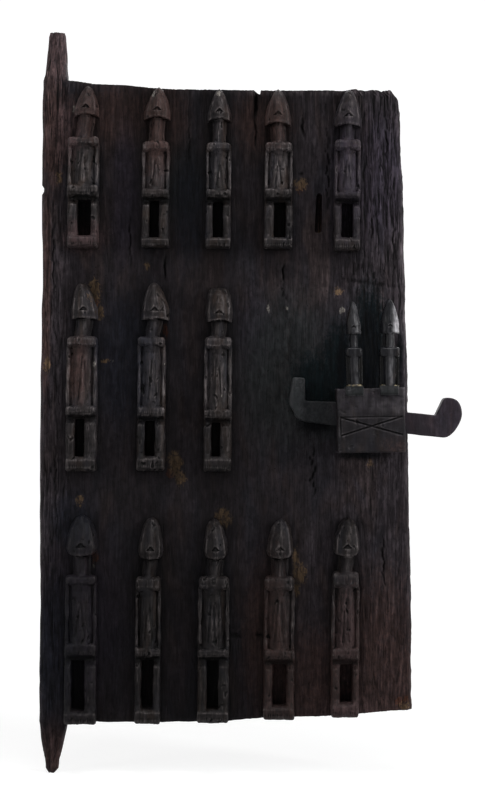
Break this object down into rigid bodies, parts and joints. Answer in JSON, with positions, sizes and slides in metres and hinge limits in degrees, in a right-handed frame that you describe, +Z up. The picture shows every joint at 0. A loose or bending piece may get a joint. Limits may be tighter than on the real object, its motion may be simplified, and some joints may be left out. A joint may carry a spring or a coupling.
{
  "type": "granary door",
  "caption": "Upright wooden door that turns on carved pivots, with rows of small standing figures in relief and a block lock whose hooked bolt slides under drop pins.",
  "frame": {"origin": "on the pivot axis, at the lower end of the lower journal's round wall", "axes": "+Z up the pivot axis, +X from the pivot axis to the free edge with the lock, -Y out of the carved front"},
  "size_m": [0.4208, 0.089, 0.7437],
  "materials": {
    "plank_wood": "old dark hardwood, smoked and worn",
    "lock_wood": "dark hardwood, handled smooth",
    "figure_wood": "dark hardwood, polished by hands",
    "bolt_wood": "dark hardwood, rubbed smooth",
    "wedge_wood": "whittled, unpolished",
    "iron": "forged, lightly rusted"
  },
  "bodies": {
    "door": {"door_board": "plank_wood", "lock_housing": "lock_wood", "lock_figure_left": "figure_wood", "lock_figure_right": "figure_wood", "wedge_upper": "wedge_wood", "wedge_lower": "wedge_wood"},
    "bolt": {"bolt": "bolt_wood"},
    "tumbler_left": {"tumbler_left": "iron"},
    "tumbler_middle": {"tumbler_middle": "iron"},
    "tumbler_right": {"tumbler_right": "iron"}
  },
  "joints": [
    {"name": "bolt_slide", "type": "slide", "parent": "door", "child": "bolt", "axis": [0.9925, 0, -0.1219], "range_m": [-0.0302, 0.0289]},
    {"name": "tumbler_left_lift", "type": "slide", "parent": "door", "child": "tumbler_left", "axis": [0, 0, 1], "range_m": [0, 0.0025]},
    {"name": "tumbler_middle_lift", "type": "slide", "parent": "door", "child": "tumbler_middle", "axis": [0, 0, 1], "range_m": [0, 0.0025]},
    {"name": "tumbler_right_lift", "type": "slide", "parent": "door", "child": "tumbler_right", "axis": [0, 0, 1], "range_m": [0, 0.0025]}
  ]
}
